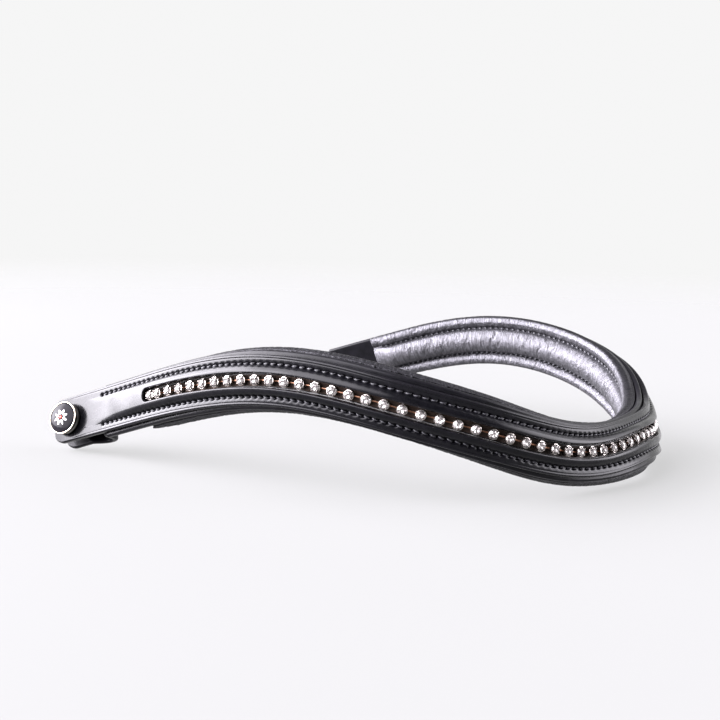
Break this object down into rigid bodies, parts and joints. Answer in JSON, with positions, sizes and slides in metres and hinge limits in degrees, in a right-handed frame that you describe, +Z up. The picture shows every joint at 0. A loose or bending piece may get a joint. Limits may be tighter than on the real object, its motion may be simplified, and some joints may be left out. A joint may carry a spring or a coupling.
{
  "type": "padded bridle browband",
  "caption": "Padded bridle browband: black leather strap with a slotted crystal chain, stitched base, puffy metallic lining and a press-stud loop at each end.",
  "frame": {"origin": "centre of the bounding box, on the surface the band lies on", "axes": "+Z up, +Y from the brow's middle towards the two loop ends, +X to the band's right end"},
  "size_m": [0.1602, 0.1756, 0.0395],
  "materials": {
    "front_strap": "smooth black bridle leather, satin-gloss",
    "base_strap": "black leather, satin",
    "crown_filler_upper": "felt strip",
    "crown_filler_lower": "felt strip",
    "chain_bed": "dark brown-black, matt",
    "cup_chain": "polished cups, warm links",
    "pad_core_upper": "soft foam",
    "pad_core_middle": "soft foam",
    "pad_core_lower": "soft foam",
    "pad_lining": "soft pewter metallic leather",
    "front_thread_upper": "waxed black thread",
    "front_thread_lower": "waxed black thread",
    "lining_thread_upper": "waxed black thread",
    "lining_thread_lower": "waxed black thread",
    "left_tongue": "black leather, satin",
    "left_snap_cap": "dark gunmetal plating",
    "left_cap_bezel": "polished pale gold plating",
    "left_cap_disc": "domed black enamel",
    "left_snap_socket": "nickel plated",
    "left_snap_stud": "nickel plated",
    "left_snap_eyelet": "nickel plated",
    "right_tongue": "black leather, satin",
    "right_snap_cap": "dark gunmetal plating",
    "right_cap_bezel": "polished pale gold plating",
    "right_cap_disc": "domed black enamel",
    "right_snap_socket": "nickel plated",
    "right_snap_stud": "nickel plated",
    "right_snap_eyelet": "nickel plated"
  },
  "bodies": {
    "band": {"front_strap": "front_strap", "base_strap": "base_strap", "crown_filler_upper": "crown_filler_upper", "crown_filler_lower": "crown_filler_lower", "chain_bed": "chain_bed", "cup_chain": "cup_chain", "pad_core_upper": "pad_core_upper", "pad_core_middle": "pad_core_middle", "pad_core_lower": "pad_core_lower", "pad_lining": "pad_lining", "front_thread_upper": "front_thread_upper", "front_thread_lower": "front_thread_lower", "lining_thread_upper": "lining_thread_upper", "lining_thread_lower": "lining_thread_lower", "left_snap_cap": "left_snap_cap", "left_cap_bezel": "left_cap_bezel", "left_cap_disc": "left_cap_disc", "left_snap_socket": "left_snap_socket", "right_snap_cap": "right_snap_cap", "right_cap_bezel": "right_cap_bezel", "right_cap_disc": "right_cap_disc", "right_snap_socket": "right_snap_socket"},
    "left_loop": {"left_tongue": "left_tongue", "left_snap_stud": "left_snap_stud", "left_snap_eyelet": "left_snap_eyelet"},
    "right_loop": {"right_tongue": "right_tongue", "right_snap_stud": "right_snap_stud", "right_snap_eyelet": "right_snap_eyelet"}
  },
  "joints": [
    {"name": "left_fold", "type": "hinge", "parent": "band", "child": "left_loop", "pos_m": [-0.06805, 0.06639, 0.0135], "axis": [-0.2819, -0.2885, -0.915], "range_deg": [0, 110]},
    {"name": "right_fold", "type": "hinge", "parent": "band", "child": "right_loop", "pos_m": [0.06805, 0.06639, 0.0135], "axis": [-0.2819, 0.2885, 0.915], "range_deg": [0, 110]}
  ]
}
